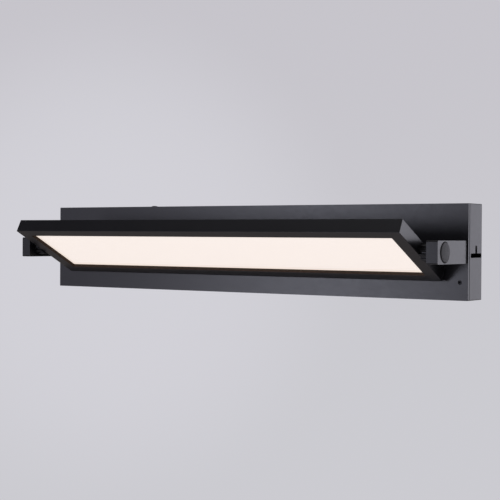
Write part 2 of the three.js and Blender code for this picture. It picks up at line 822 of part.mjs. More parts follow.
function sheet(low, high) {
  return block([-halfPanel[0], -halfPanel[1], low], [halfPanel[0], halfPanel[1], high]);
}
place(head, "diffuser", sheet(diffuserLow, guideLow - GAP), opal);
place(head, "light_guide", sheet(guideLow, filmLow - GAP), acrylic);
place(head, "reflector_film", sheet(filmLow, padLow - GAP), whiteFilm);
place(head, "foam_pad", sheet(padLow, coverLow - GAP), greyFoam);
place(head, "led_strip_back", makeLedStrip(), boardWhite);
place(head, "led_strip_front", makeLedStrip().rotateZ(Math.PI), boardWhite);

const connectorX = [panelLength / 2 + 1, panelLength / 2 + 6];
place(
  head,
  "head_connector",
  block([connectorX[0], -5, bezelInner + GAP], [connectorX[1], 5, bezelInner + 6]),
  nylon,
);
const stripEnd = stripReach + GAP;
const stripY = boardY + BOARD_THICKNESS / 2;
for (const [name, side] of [["led_lead_back", 1], ["led_lead_front", -1]]) {
  const x = connectorX[0] + 2.4;
  const route = [
    [x, side * (5 + GAP), 0],
    [x, side * 20, 0],
    [x, side * 36, 0],
    [x - 1, side * (stripY - 3), 0],
    [x - 4, side * stripY, 0],
    [stripEnd, side * stripY, 0],
  ];
  place(head, name, tube(route, LEAD_RADIUS, 14), leadWhite);
}
place(
  head,
  "head_lead",
  tube([[connectorX[1] + GAP, 0, 0], [280, 0, 0], [stemEndX - 2.2 - GAP, 0, 0]], LEAD_RADIUS, 4),
  leadWhite,
);

export default light;
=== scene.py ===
"""Looks of the picture light: black powder-coated shells, pivots, screws and a glowing opal panel."""

import json
import math

import bmesh
import bpy
from mathutils import Matrix, Vector


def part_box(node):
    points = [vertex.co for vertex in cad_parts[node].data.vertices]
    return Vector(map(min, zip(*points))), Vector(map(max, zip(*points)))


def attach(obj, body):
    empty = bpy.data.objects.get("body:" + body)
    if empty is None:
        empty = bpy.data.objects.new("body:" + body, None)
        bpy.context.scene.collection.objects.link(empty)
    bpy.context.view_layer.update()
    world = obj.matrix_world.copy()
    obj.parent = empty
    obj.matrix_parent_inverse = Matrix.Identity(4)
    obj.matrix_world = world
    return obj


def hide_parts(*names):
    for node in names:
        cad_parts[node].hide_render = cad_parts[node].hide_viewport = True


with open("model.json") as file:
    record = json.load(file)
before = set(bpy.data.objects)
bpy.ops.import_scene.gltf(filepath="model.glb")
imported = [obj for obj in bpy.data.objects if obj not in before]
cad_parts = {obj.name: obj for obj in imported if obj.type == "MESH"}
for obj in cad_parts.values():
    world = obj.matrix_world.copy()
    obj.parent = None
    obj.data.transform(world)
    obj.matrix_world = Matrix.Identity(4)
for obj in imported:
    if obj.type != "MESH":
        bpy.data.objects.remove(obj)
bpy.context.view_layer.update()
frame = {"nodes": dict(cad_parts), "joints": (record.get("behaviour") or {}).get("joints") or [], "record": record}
nodes = frame["nodes"]

MM = 0.001

# ---------------------------------------------------------------- camera

CAMERA_PLACE = Vector((0.8633, -1.2785, 0.0158))
CAMERA_YAW = 34.37  # degrees to the left of +Y
CAMERA_PITCH = -0.638
CAMERA_ROLL = 0.366
CAMERA_LENS = 87.6  # on a 36 mm sensor


def make_camera():
    data = bpy.data.cameras.new("camera")
    data.sensor_width = 36
    data.lens = CAMERA_LENS
    data.clip_start = 0.05
    data.clip_end = 200
    camera = bpy.data.objects.new("camera", data)
    bpy.context.scene.collection.objects.link(camera)
    turn = Matrix.Rotation(math.radians(CAMERA_YAW), 4, "Z")
    tip = Matrix.Rotation(math.radians(90 + CAMERA_PITCH), 4, "X")
    roll = Matrix.Rotation(math.radians(CAMERA_ROLL), 4, "Z")
    camera.matrix_world = Matrix.Translation(CAMERA_PLACE) @ turn @ tip @ roll
    bpy.context.scene.camera = camera


make_camera()

# ---------------------------------------------------------------- material tools

MIX_FACTOR, MIX_FIRST, MIX_SECOND = 0, 6, 7  # the sockets of a Mix node that mixes colours
MIX_RESULT = 2


class Surface:
    """A Principled material and the small graph of nodes behind it."""

    def __init__(self, name, color, roughness, **sockets):
        self.material = bpy.data.materials.new(name)
        self.material.use_nodes = True
        self.tree = self.material.node_tree
        self.shader = self.tree.nodes["Principled BSDF"]
        self.shader.inputs["Base Color"].default_value = (*color, 1)
        self.shader.inputs["Roughness"].default_value = roughness
        for socket, value in sockets.items():
            self.shader.inputs[socket.replace("_", " ").title()].default_value = value
        self.place = self.add("ShaderNodeTexCoord").outputs["Object"]
        self.height = None

    def add(self, kind, **settings):
        node = self.tree.nodes.new(kind)
        for key, value in settings.items():
            if key in node.inputs:
                node.inputs[key].default_value = value
            else:
                setattr(node, key, value)
        return node

    def link(self, source, target):
        self.tree.links.new(source, target)

    def noise(self, scale, detail):
        node = self.add("ShaderNodeTexNoise", Scale=scale, Detail=detail)
        self.link(self.place, node.inputs["Vector"])
        return node.outputs["Fac"]

    def cells(self, scale):
        node = self.add("ShaderNodeTexVoronoi", Scale=scale)
        self.link(self.place, node.inputs["Vector"])
        return node.outputs["Distance"]

    def spread(self, source, low, high, start=0.3, end=0.7):
        node = self.add("ShaderNodeMapRange")
        values = (start, end, low, high)
        for socket, value in zip(("From Min", "From Max", "To Min", "To Max"), values):
            node.inputs[socket].default_value = value
        self.link(source, node.inputs["Value"])
        return node.outputs["Result"]

    def rough(self, source, low, high, start=0.3, end=0.7):
        self.link(self.spread(source, low, high, start, end), self.shader.inputs["Roughness"])

    def tint(self, source, dark, bright, start=0.3, end=0.7):
        mix = self.add("ShaderNodeMix", data_type="RGBA")
        mix.inputs[MIX_FIRST].default_value = (*dark, 1)
        mix.inputs[MIX_SECOND].default_value = (*bright, 1)
        self.link(self.spread(source, 0, 1, start, end), mix.inputs[MIX_FACTOR])
        self.link(mix.outputs[MIX_RESULT], self.shader.inputs["Base Color"])

    def bump(self, source, depth, strength):
        node = self.add("ShaderNodeBump", Strength=strength, Distance=depth)
        self.link(source, node.inputs["Height"])
        if self.height:
            self.link(self.height, node.inputs["Normal"])
        self.height = node.outputs["Normal"]
        self.link(self.height, self.shader.inputs["Normal"])


def scaled(color, factor):
    return tuple(channel * factor for channel in color)


# ---------------------------------------------------------------- materials


def powder_coat(name, color, roughness, grain=1.0, shine=0.5):
    """Matt powder coat: a fine orange peel, slightly uneven gloss and a trace of dust."""
    s = Surface(name, color, roughness)
    s.shader.inputs["Specular IOR Level"].default_value = shine
    s.tint(s.noise(38, 4), scaled(color, 0.92), scaled(color, 1.1))
    s.rough(s.noise(210, 3), roughness - 0.015, roughness + 0.02)
    s.bump(s.noise(1500, 2), 0.00002 * grain, 0.6)
    s.bump(s.noise(420, 1), 0.00002 * grain, 0.5)
    return s.material


def painted_light_coat(name, color):
    """A dull coat whose colour is painted light (painted shade in the T slots and on the bracket's ends, a painted
    glow on the window lip), with faint streaks.
    """
    s = Surface(name, color, 0.85)
    s.shader.inputs["Specular IOR Level"].default_value = 0.15
    s.tint(s.noise(300, 3), scaled(color, 0.8), scaled(color, 1.2))
    s.rough(s.noise(700, 2), 0.78, 0.92)
    s.bump(s.noise(1800, 2), 0.00002, 0.5)
    return s.material


def cap_plastic():
    """The pivot caps' moulded plastic, with a fine spark-eroded grain."""
    color = (0.021, 0.021, 0.024)
    s = Surface("cap_plastic", color, 0.55)
    s.tint(s.noise(700, 2), scaled(color, 0.75), scaled(color, 1.35))
    s.rough(s.noise(900, 2), 0.5, 0.66)
    s.bump(s.cells(1500), 0.00006, 0.8)
    return s.material


def black_oxide():
    """Blackened steel, for the screws and the pivot hubs."""
    color = (0.02, 0.02, 0.022)
    s = Surface("black_oxide", color, 0.42, metallic=0.6)
    s.tint(s.noise(300, 3), scaled(color, 0.7), scaled(color, 1.5))
    s.rough(s.noise(650, 2), 0.34, 0.5)
    s.bump(s.noise(1800, 2), 0.00002, 0.5)
    return s.material


def zinc_plate():
    """Bright zinc plate, with the faint spangle of its crystals."""
    color = (0.5, 0.51, 0.53)
    s = Surface("zinc_plate", color, 0.36, metallic=1.0)
    s.tint(s.cells(140), scaled(color, 0.86), scaled(color, 1.08), 0, 0.9)
    s.rough(s.noise(240, 3), 0.28, 0.45)
    s.bump(s.noise(900, 3), 0.00003, 0.4)
    return s.material


def green_zinc():
    """Zinc with a green dye, as on a ground screw."""
    color = (0.03, 0.22, 0.07)
    s = Surface("green_zinc", color, 0.4, metallic=0.7)
    s.tint(s.noise(260, 2), scaled(color, 0.8), scaled(color, 1.2))
    s.rough(s.noise(500, 2), 0.34, 0.48)
    s.bump(s.noise(1500, 2), 0.00002, 0.4)
    return s.material


RIM_FADE = 0.008  # how far in from the sheet's rim the light still changes, in metres


def rim_distance(s, half_length, half_width, to_sheet):
    """1 over the middle of the opal sheet, falling to 0 at its rim."""
    mapping = s.add("ShaderNodeMapping", vector_type="POINT")
    rotation = to_sheet.to_euler()
    mapping.inputs["Location"].default_value = to_sheet.to_translation()
    mapping.inputs["Rotation"].default_value = (rotation.x, rotation.y, rotation.z)
    s.link(s.place, mapping.inputs["Vector"])
    parts = s.add("ShaderNodeSeparateXYZ")
    s.link(mapping.outputs["Vector"], parts.inputs["Vector"])
    fades = []
    for axis, reach in (("X", half_length), ("Y", half_width)):
        size = s.add("ShaderNodeMath", operation="ABSOLUTE")
        s.link(parts.outputs[axis], size.inputs[0])
        fades.append(s.spread(size.outputs[0], 1.0, 0.0, reach - RIM_FADE, reach))
    low = s.add("ShaderNodeMath", operation="MINIMUM")
    s.link(fades[0], low.inputs[0])
    s.link(fades[1], low.inputs[1])
    return low.outputs[0]


def lit_opal(half_length, half_width, to_sheet):
    """The opal sheet, lit from its long edges: warm white, a little warmer towards its rim."""
    color = (0.46, 0.44, 0.41)
    s = Surface("lit_opal", color, 0.42)
    s.tint(s.noise(60, 2), scaled(color, 0.985), color)
    s.rough(s.noise(900, 2), 0.38, 0.46)
    s.bump(s.noise(2400, 1), 0.000008, 0.4)
    glow = s.add("ShaderNodeMix", data_type="RGBA")
    glow.inputs[MIX_FIRST].default_value = (0.81, 0.69, 0.585, 1)
    glow.inputs[MIX_SECOND].default_value = (0.765, 0.685, 0.635, 1)
    s.link(rim_distance(s, half_length, half_width, to_sheet), glow.inputs[MIX_FACTOR])
    s.link(glow.outputs[MIX_RESULT], s.shader.inputs["Emission Color"])
    s.shader.inputs["Emission Strength"].default_value = 1.0
    return s.material


def clear_acrylic():
    """The clear light guide, with its pattern of shallow dots."""
    color = (0.93, 0.97, 0.97)
    s = Surface("clear_acrylic", color, 0.08)
    s.shader.inputs["Transmission Weight"].default_value = 0.9
    s.shader.inputs["IOR"].default_value = 1.49
    s.tint(s.noise(40, 2), scaled(color, 0.985), color)
    s.rough(s.noise(300, 2), 0.05, 0.12)
    s.bump(s.cells(700), 0.00002, 0.3)
    return s.material


def dull_plastic(name, color, roughness, grain=1200, depth=0.00002):
    """Plastic, film, board or sheathing with a fine moulded grain."""
    s = Surface(name, color, roughness)
    s.tint(s.noise(90, 3), scaled(color, 0.93), scaled(color, 1.03))
    s.rough(s.noise(420, 2), roughness - 0.05, roughness + 0.06)
    s.bump(s.noise(grain, 2), depth, 0.5)
    return s.material


def foam():
    """Open-cell foam."""
    color = (0.1, 0.105, 0.11)
    s = Surface("grey_foam", color, 0.95)
    pores = s.cells(1100)
    s.tint(pores, scaled(color, 0.6), scaled(color, 1.2), 0, 0.7)
    s.rough(pores, 0.85, 1.0, 0, 0.7)
    s.bump(pores, 0.0002, 0.8)
    return s.material


# ---------------------------------------------------------------- frame measures


def low_high(node):
    low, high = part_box(node)
    return low / MM, high / MM


joint = frame["joints"][0]
pivot = Vector(joint["pos_m"])


def head_tilt():
    """The lean of the diffuser's large faces, in radians."""
    faces = nodes["diffuser"].data.polygons
    normal = max(faces, key=lambda face: face.area).normal
    if normal.z < 0:
        normal = -normal
    return -math.atan2(normal.y, normal.z)


HEAD_TO_WORLD = Matrix.Translation(pivot) @ Matrix.Rotation(head_tilt(), 4, "X")
WORLD_TO_HEAD = HEAD_TO_WORLD.inverted()


def flat_box(node):
    """A head node's corners in mm, measured with the head turned flat about its pivot."""
    points = [WORLD_TO_HEAD @ v.co for v in nodes[node].data.vertices]
    low = Vector([min(p[i] for p in points) for i in range(3)])
    high = Vector([max(p[i] for p in points) for i in range(3)])
    return low / MM, high / MM


# ---------------------------------------------------------------- mesh tools


def new_piece(name, build):
    """Makes an object from a bmesh drawn in millimetres."""
    bm = bmesh.new()
    build(bm)
    bmesh.ops.recalc_face_normals(bm, faces=bm.faces)
    bmesh.ops.scale(bm, vec=(MM, MM, MM), verts=bm.verts)
    mesh = bpy.data.meshes.new(name)
    bm.to_mesh(mesh)
    bm.free()
    piece = bpy.data.objects.new(name, mesh)
    bpy.context.scene.collection.objects.link(piece)
    return piece


def prism(bm, outline, depth_low, depth_high, axes="XYZ"):
    """Extrudes an outline. axes names where the outline's two directions and the depth point."""
    order = ["XYZ".index(a) for a in axes]

    def corner(u, v, w):
        point = [0.0, 0.0, 0.0]
        for index, value in zip(order, (u, v, w)):
            point[index] = value
        return bm.verts.new(point)

    below = [corner(u, v, depth_low) for u, v in outline]
    above = [corner(u, v, depth_high) for u, v in outline]
    bm.faces.new(below)
    bm.faces.new(list(reversed(above)))
    count = len(outline)
    for i in range(count):
        j = (i + 1) % count
        bm.faces.new((below[i], above[i], above[j], below[j]))


def box_outline(low, high):
    return [(low[0], low[1]), (high[0], low[1]), (high[0], high[1]), (low[0], high[1])]


def block(name, low, high):
    outline = box_outline((low[0], low[1]), (high[0], high[1]))
    return new_piece(name, lambda bm: prism(bm, outline, low[2], high[2]))


def arc(centre, radius, start, end, steps):
    points = []
    for i in range(steps + 1):
        angle = math.radians(start + (end - start) * i / steps)
        points.append((centre[0] + radius * math.cos(angle), centre[1] + radius * math.sin(angle)))
    return points


def rounded_outline(low, high, radius, steps=6):
    points = []
    corners = (
        ((high[0] - radius, low[1] + radius), -90),
        ((high[0] - radius, high[1] - radius), 0),
        ((low[0] + radius, high[1] - radius), 90),
        ((low[0] + radius, low[1] + radius), 180),
    )
    for centre, start in corners:
        points += arc(centre, radius, start, start + 90, steps)
    return points


def round_outline(centre, radius, steps=48):
    return arc(centre, radius, 0, 360 - 360 / steps, steps - 1)


def ring_of_points(bm, centre, order, radius, distance, steps):
    """One ring of a turned shape, or a single point where the profile meets the axis."""
    ring = []
    for i in range(steps if radius > 0 else 1):
        angle = 2 * math.pi * i / steps
        point = list(centre)
        point[order[0]] += radius * math.cos(angle)
        point[order[1]] += radius * math.sin(angle)
        point[order[2]] += distance
        ring.append(bm.verts.new(point))
    return ring


def spin(bm, profile, centre, axis, steps):
    order = {"X": (1, 2, 0), "Y": (2, 0, 1), "Z": (0, 1, 2)}[axis]
    rings = [ring_of_points(bm, centre, order, *point, steps) for point in profile]
    for first, second in zip(rings, rings[1:]):
        for i in range(steps):
            j = (i + 1) % steps
            ends = [first[i % len(first)], first[j % len(first)]]
            ends += [second[j % len(second)], second[i % len(second)]]
            corners = list(dict.fromkeys(ends))
            if len(corners) > 2:
                bm.faces.new(corners)


def turned(name, profile, centre, axis, steps):
    """Spins a profile of (radius, distance) that starts and ends on an axis through the centre."""
    return new_piece(name, lambda bm: spin(bm, profile, centre, axis, steps))


def bake_modifiers(piece):
    """Turns a piece's modifiers into its mesh."""
    graph = bpy.context.evaluated_depsgraph_get()
    mesh = bpy.data.meshes.new_from_object(piece.evaluated_get(graph))
    piece.modifiers.clear()
    piece.data = mesh


def combine(piece, tools, operation):
    """Cuts the tools out of the piece, or joins them to it, and deletes them."""
    for tool in tools:
        change = piece.modifiers.new("combine", "BOOLEAN")
        change.operation = operation
        change.solver = "EXACT"
        change.object = tool
    bake_modifiers(piece)
    for tool in tools:
        bpy.data.objects.remove(tool)


def cut(piece, cutters):
    combine(piece, cutters, "DIFFERENCE")


def join(piece, others):
    combine(piece, others, "UNION")


SMOOTH_ANGLE = 35


def soften(piece, width, segments=3, angle=SMOOTH_ANGLE):
    """Rounds the sharp edges and sets smooth shading between them."""
    change = piece.modifiers.new("soften", "BEVEL")
    change.width = width * MM
    change.segments = segments
    change.limit_method = "ANGLE"
    change.angle_limit = math.radians(angle)
    change.use_clamp_overlap = True
    change.harden_normals = False
    bake_modifiers(piece)
    shade(piece)


def shade(piece, angle=SMOOTH_ANGLE):
    """Smooth shading between the sharp edges, led by the large faces so that they look flat."""
    piece.data.shade_smooth()
    piece.data.set_sharp_from_angle(angle=math.radians(angle))
    change = piece.modifiers.new("flatten", "WEIGHTED_NORMAL")
    change.keep_sharp = True
    bake_modifiers(piece)


def show(piece, body, material, *replaced, slot):
    piece.data.materials.clear()
    piece.data.materials.append(material)
    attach(piece, body)
    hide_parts(*replaced)


def paint_light_on(piece, material, chosen):
    """Gives the chosen faces of a piece a second material that carries painted light: painted shade or a painted
    glow.
    """
    piece.data.materials.append(material)
    for face in piece.data.polygons:
        if chosen(face.center / MM, face.normal):
            face.material_index = 1


def tilt_into_place(piece):
    piece.data.transform(HEAD_TO_WORLD)


# ---------------------------------------------------------------- finishes

BLACK = powder_coat("black_powder_coat", (0.011, 0.011, 0.0135), 0.3)
BLACK_SHEET = powder_coat("black_sheet", (0.011, 0.011, 0.013), 0.42, 1.6)
# Near-black painted shade for the T slot walls and the bracket's ends.
PAINTED_SHADE_EDGE = painted_light_coat("black_cut_edge", (0.005, 0.0045, 0.0045))
# Warm brown painted glow of the opal sheet on the window's walls.
LIP_PAINTED_GLOW = painted_light_coat("window_lip", (0.045, 0.03, 0.022))
BLACK_END = powder_coat("black_end_coat", (0.007, 0.007, 0.009), 0.34, 1.3, 0.45)
BLACK_CAST = powder_coat("black_arm_coat", (0.007, 0.007, 0.009), 0.3, 1.3, 0.43)
# A darker, less shiny copy of the arm coat: painted shade on the arms' front faces.
ARM_FRONT_SHADE = powder_coat("black_arm_front", (0.006, 0.006, 0.008), 0.34, 1.3, 0.35)
CAP = cap_plastic()
OXIDE = black_oxide()
ZINC = zinc_plate()
GREEN = green_zinc()
NYLON = dull_plastic("natural_nylon", (0.66, 0.64, 0.57), 0.5)
BLACK_NYLON = dull_plastic("black_nylon", (0.012, 0.012, 0.013), 0.55)
WHITE_CASE = dull_plastic("driver_case", (0.62, 0.63, 0.64), 0.46, 900, 0.00004)
BOARD = dull_plastic("led_board", (0.8, 0.8, 0.77), 0.38, 2000)
FILM = dull_plastic("white_film", (0.86, 0.86, 0.85), 0.6)
LEAD_WHITE = dull_plastic("white_lead", (0.74, 0.74, 0.73), 0.5, 700)
LEAD_BLACK = dull_plastic("black_lead", (0.015, 0.015, 0.015), 0.5, 700)
LEAD_GREEN = dull_plastic("green_lead", (0.03, 0.26, 0.06), 0.5, 700)
FOAM = foam()
ACRYLIC = clear_acrylic()

# ---------------------------------------------------------------- small cutting tools

PAST = 1  # how far a cutter runs past the surface it cuts
LEAD_RADIUS = 0.9
CLEARANCE = 0.3  # the gap between pieces that touch


def hole(centre, radius, low, high, axes, steps=40):
    outline = round_outline(centre, radius, steps)
    return new_piece("hole", lambda bm: prism(bm, outline, low, high, axes))


def hex_socket(centre, radius, low, high, axes):
    return hole(centre, radius, low, high, axes, 6)


def middle(node, flat=False):
    low, high = flat_box(node) if flat else low_high(node)
    return (low + high) / 2


def lead_x():
    """Where the lead runs up the middle of the right arm."""
    return low_high("arm_lead")[1].x - LEAD_RADIUS


def both_sides(build):
    for side, name in ((1, "right"), (-1, "left")):
        build(side, name)


# ---------------------------------------------------------------- the canopy

SHEET = 1.6
THROUGH = 3  # how deep a cutter goes in, well past the sheet
PLATE_CORNER = 0.9
PLATE_EDGE = 0.6
GRUB_HOLE = 2.4
LEAD_HOLE = 2
ARM_SCREW_HOLE = 1.95
SLOT_BAR = ((-29.5, -6.4), (-0.8, -1.55))  # opposite corners as (y, z)
SLOT_STEM = ((-17.25, -5.9), (-12.45, 7.1))
SLOT_BAR_CORNER = 1.8
SLOT_STEM_CORNER = 1.6
SLOT_MARGIN = 0.6  # takes in the softened edge around the slot
HOUSING_CORNER = 1.0
HOUSING_RIM = 0.75
HOUSING_EDGE = 0.35
LOCK_HOLE = 2.3
PLATE_SCREW_HOLE = 1.6
PLATE_SCREWS = 4


def make_front_plate():
    low, high = low_high("canopy_front_plate")
    outline = rounded_outline((low.x, low.z), (high.x, high.z), PLATE_CORNER, 4)
    piece = new_piece("front_plate", lambda bm: prism(bm, outline, low.y, high.y, "XZY"))
    through = (low.y - PAST, high.y + PAST)
    grub = middle("canopy_grub_screw")
    cutters = [hole((grub.x, grub.z), GRUB_HOLE, *through, "XZY")]
    for side, name in ((1, "right"), (-1, "left")):
        cutters.append(hole((side * lead_x(), 0), LEAD_HOLE, *through, "XZY", 24))
        for level in ("upper", "lower"):
            screw = middle(f"arm_screw_{level}_{name}")
            cutters.append(hole((screw.x, screw.z), ARM_SCREW_HOLE, *through, "XZY", 24))
    cut(piece, cutters)
    soften(piece, PLATE_EDGE, 4)
    show(piece, "canopy", BLACK, "canopy_front_plate", slot="black_paint")


def t_slot(side, outer):
    """The inverted T in one end of the canopy, drawn as two overlapping cutters."""
    span = sorted((side * (outer - THROUGH), side * (outer + PAST)))
    bar = rounded_outline(*SLOT_BAR, SLOT_BAR_CORNER, 8)
    stem = rounded_outline(*SLOT_STEM, SLOT_STEM_CORNER, 8)
    return [
        new_piece("slot", lambda bm: prism(bm, outline, *span, "YZX")) for outline in (bar, stem)
    ]


def in_slot(place, normal):
    """Whether a face belongs to the walls of a T cut-out, and not to the rim at the wall; these faces get painted
    shade.
    """
    along = SLOT_BAR[0][0] - SLOT_MARGIN < place.y < SLOT_BAR[1][0] / 2
    across = SLOT_BAR[0][1] - SLOT_MARGIN < place.z < SLOT_STEM[1][1] + SLOT_MARGIN
    return along and across and abs(normal.x) < 0.6


def housing_blank(bm, outline, front):
    """A solid block with a well rounded front rim."""
    prism(bm, outline, front, 0, "XZY")
    rim = [edge for edge in bm.edges if all(abs(v.co.y - front) < 0.01 for v in edge.verts)]
    bmesh.ops.bevel(bm, geom=rim, offset=HOUSING_RIM, segments=3, profile=0.5, affect="EDGES")


def housing_hollow(half_x, half_z, flange_z, front):
    """The room inside the housing, and the opening between its front flanges."""
    inner = (half_x - SHEET, half_z - SHEET)
    opening = rounded_outline((-inner[0], -flange_z), (inner[0], flange_z), 0.5, 2)
    room = rounded_outline((-inner[0], -inner[1]), inner, 0.8, 3)
    return [
        new_piece("opening", lambda bm: prism(bm, opening, front - PAST, PAST, "XZY")),
        new_piece("room", lambda bm: prism(bm, room, front + SHEET, PAST, "XZY")),
    ]


def housing_screw_holes(half_z, front):
    lock = middle("canopy_lock_screw")
    roof = (half_z - THROUGH, half_z + PAST)
    flange = (front - PAST, front + THROUGH)
    holes = [hole((lock.x, lock.y), LOCK_HOLE, *roof, "XYZ", 32)]
    for number in range(1, PLATE_SCREWS + 1):
        screw = middle(f"plate_screw_{number}")
        holes.append(hole((screw.x, screw.z), PLATE_SCREW_HOLE, *flange, "XZY", 24))
    return holes


def make_housing():
    """The welded shell behind the front plate, open at the wall, as one piece."""
    low, high = low_high("canopy_housing_top")
    half_x, half_z, front = high.x, high.z, low.y
    outline = rounded_outline((-half_x, -half_z), (half_x, half_z), HOUSING_CORNER, 4)
    piece = new_piece("housing", lambda bm: housing_blank(bm, outline, front))
    cutters = housing_hollow(half_x, half_z, low.z, front)
    cutters += housing_screw_holes(half_z, front)
    for side in (-1, 1):
        cutters += t_slot(side, half_x)
    cut(piece, cutters)
    soften(piece, HOUSING_EDGE)
    replaced = ["canopy_housing_top", "canopy_housing_bottom", "canopy_end_left", "canopy_end_right"]
    show(piece, "canopy", BLACK_END, *replaced, slot="black_paint")
    # The T slot walls get near-black painted shade.
    paint_light_on(piece, PAINTED_SHADE_EDGE, in_slot)


LOCK_SCREW_LENGTH = 9
LOCK_SHANK = 1.75
LOCK_SOCKET = 1.5
GRUB_SOCKET = 1.2
SCREW_SMOOTH = 30


def pan_head(radius, seat, top):
    """The rounded side and crown of a pan head, from its seat up to the axis."""
    lip = 0.12
    steps = 8
    points = [(radius - 0.1, seat)]
    for step in range(steps):
        angle = math.radians(90 * step / steps)
        across = radius * math.cos(angle) ** 0.6
        points.append((across, seat + lip + (top - seat - lip) * math.sin(angle)))
    return points + [(0, top)]


def make_lock_screw():
    low, high = low_high("canopy_lock_screw")
    centre = middle("canopy_lock_screw")
    seat = low.z + LOCK_SCREW_LENGTH
    point = [(0, low.z), (LOCK_SHANK - 0.4, low.z), (LOCK_SHANK, low.z + 0.5), (LOCK_SHANK, seat)]
    profile = point + pan_head((high.x - low.x) / 2, seat, high.z)
    piece = turned("lock_screw", profile, (centre.x, centre.y, 0), "Z", 48)
    cut(piece, [hex_socket((centre.x, centre.y), LOCK_SOCKET, seat - 0.2, high.z + PAST, "XYZ")])
    shade(piece, SCREW_SMOOTH)
    show(piece, "canopy", OXIDE, "canopy_lock_screw", slot="black_screw")


def make_grub_screw():
    low, high = low_high("canopy_grub_screw")
    centre = middle("canopy_grub_screw")
    radius = (high.x - low.x) / 2
    profile = [
        (0, low.y + 0.15),
        (radius - 0.35, low.y),
        (radius, low.y + 0.35),
        (radius, high.y - 0.6),
        (radius - 0.6, high.y),
        (0, high.y),
    ]
    piece = turned("grub_screw", profile, (centre.x, 0, centre.z), "Y", 48)
    cut(piece, [hex_socket((centre.x, centre.z), GRUB_SOCKET, low.y - PAST, low.y + 2.4, "XZY")])
    shade(piece, SCREW_SMOOTH)
    show(piece, "canopy", OXIDE, "canopy_grub_screw", slot="black_screw")


make_front_plate()
make_housing()
make_lock_screw()
make_grub_screw()

# ---------------------------------------------------------------- arms and pivots

ARM_CORNER = 1.6
ARM_EDGE = 0.4
ARM_CHANNEL = 1.5
ARM_SCREW_DEPTH = 12
PIVOT_Y = pivot.y / MM
POCKET_RADIUS = 11.7
BEARING_WEB = 4
STEM_BORE = 4.8


def pivot_bores(side, inner, outer):
    """The cap's pocket in the outer face, and the stem's bore in the web left behind it."""
    floor = inner + side * BEARING_WEB
    pocket = sorted((floor, outer + side * PAST))
    bore = sorted((inner - side * PAST, floor + side * PAST))
    return [
        hole((PIVOT_Y, 0), POCKET_RADIUS, *pocket, "YZX", 96),
        hole((PIVOT_Y, 0), STEM_BORE, *bore, "YZX", 48),
    ]


def make_arm(side, name):
    low, high = low_high(f"arm_{name}")
    outline = rounded_outline((low.y, low.z), (high.y, high.z), ARM_CORNER, 6)
    piece = new_piece(f"arm_body_{name}", lambda bm: prism(bm, outline, low.x, high.x, "YZX"))
    cutters = pivot_bores(side, *((low.x, high.x) if side > 0 else (high.x, low.x)))
    channel = (PIVOT_Y + POCKET_RADIUS - PAST, high.y + PAST)
    cutters.append(hole((side * lead_x(), 0), ARM_CHANNEL, *channel, "XZY", 24))
    thread = (high.y - ARM_SCREW_DEPTH, high.y + PAST)
    for level in ("upper", "lower"):
        screw = middle(f"arm_screw_{level}_{name}")
        cutters.append(hole((screw.x, screw.z), ARM_SCREW_HOLE, *thread, "XZY", 24))
    cut(piece, cutters)
    soften(piece, ARM_EDGE)
    show(piece, "canopy", BLACK_CAST, f"arm_{name}", slot="black_paint")
    # The front faces get the darker copy of the coat as painted shade.
    paint_light_on(piece, ARM_FRONT_SHADE, lambda place, normal: normal.y < -0.9)


CAP_STANDOUT = 0.8  # how far the cap's crown stands out of the arm
CAP_WALL = 1.2
CAP_THICKNESS = 2.1
CAP_NOTCH = 2.2


def cap_profile(radius, tip, foot):
    """Half of the cap's section: a low dome, a rounded rim, and a skirt that is hollow inside."""
    rim = tip - CAP_STANDOUT
    dome_steps = 12
    points = [(0, tip)]
    for step in range(1, dome_steps + 1):
        across = step / dome_steps
        points.append(((radius - 0.6) * across, tip - (CAP_STANDOUT - 0.05) * across**2.2))
    points += [(radius - 0.2, rim - 0.1), (radius, rim - 0.4), (radius, foot)]
    inside = rim - CAP_THICKNESS
    return points + [(radius - CAP_WALL, foot), (radius - CAP_WALL, inside), (0, inside)]


def make_cap(side, name):
    """A domed cap with a skirt, notched where the lead comes in."""
    low, high = low_high(f"pivot_cap_{name}")
    tip, foot = (high.x, low.x) if side > 0 else (-low.x, -high.x)
    radius = (high.z - low.z) / 2
    spun = [(across, side * out) for across, out in cap_profile(radius, tip, foot)]
    piece = turned(f"pivot_dome_{name}", spun, (0, PIVOT_Y, 0), "X", 96)
    near, far = sorted((side * foot, side * (tip - CAP_STANDOUT - CAP_THICKNESS - 0.4)))
    notch_low = (near, PIVOT_Y + radius / 2, -CAP_NOTCH)
    notch_high = (far, PIVOT_Y + radius + PAST, CAP_NOTCH)
    cut(piece, [block("notch", notch_low, notch_high)])
    shade(piece, 40)
    show(piece, "canopy", CAP, f"pivot_cap_{name}", slot="cap_plastic")


HUB_TEETH = 10
HUB_ROOT = 8.2
HUB_TIP = 9.8
HUB_EDGE = 0.3
STEM_RADIUS = 4.5
LEAD_BORE = 2.3
HUB_SCREW_HOLE = 1.5
HUB_SCREW_DEPTH = 7


def hub_outline(side):
    """The ten square teeth, with the left hub's a mirror image of the right one's."""
    pitch = 2 * math.pi / HUB_TEETH
    points = []
    for tooth in range(HUB_TEETH):
        for radius, share in ((HUB_ROOT, 0), (HUB_TIP, 0.12), (HUB_TIP, 0.52), (HUB_ROOT, 0.64)):
            angle = (tooth + share) * pitch
            points.append((side * radius * math.cos(angle), radius * math.sin(angle)))
    return points if side > 0 else list(reversed(points))


def hub_bores(side, name, near, far):
    """The bore for the lead along the whole hub, and the two screw holes in its inner face."""
    whole = sorted((near - side * PAST, far + side * PAST))
    bores = [hole((0, 0), LEAD_BORE, *whole, "YZX", 40)]
    thread = sorted((near - side * PAST, near + side * HUB_SCREW_DEPTH))
    for place in ("front", "back"):
        screw = middle(f"hub_screw_{place}_{name}", flat=True)
        bores.append(hole((screw.y, 0), HUB_SCREW_HOLE, *thread, "YZX", 24))
    return bores


